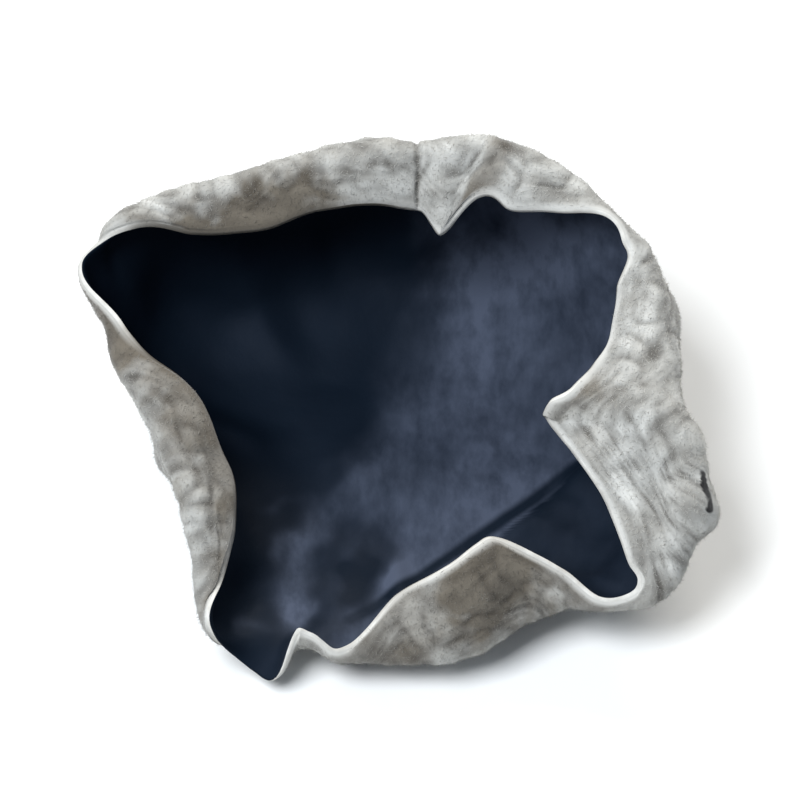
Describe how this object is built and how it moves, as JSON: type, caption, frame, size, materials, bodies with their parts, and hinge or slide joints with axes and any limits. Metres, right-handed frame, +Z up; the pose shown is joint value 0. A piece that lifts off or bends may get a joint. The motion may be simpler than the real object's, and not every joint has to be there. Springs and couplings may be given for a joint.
{
  "type": "dried wood ear mushroom",
  "caption": "Dried wood ear mushroom: a thin, curled black cup with a grey felted back, a rolled-in margin and a stub cut off flat underneath.",
  "frame": {"origin": "on the resting plane, under the middle of the cup's bounding box", "axes": "+Z up out of the cup's mouth, +X along its longest extent towards the overhanging tongue, +Y towards the tall back wall"},
  "size_m": [0.0308, 0.0251, 0.0126],
  "materials": {
    "dried_flesh": "matt grey felt outside, satin blue-black inside"
  },
  "bodies": {
    "root": {"wood_ear": "dried_flesh"}
  },
  "joints": []
}
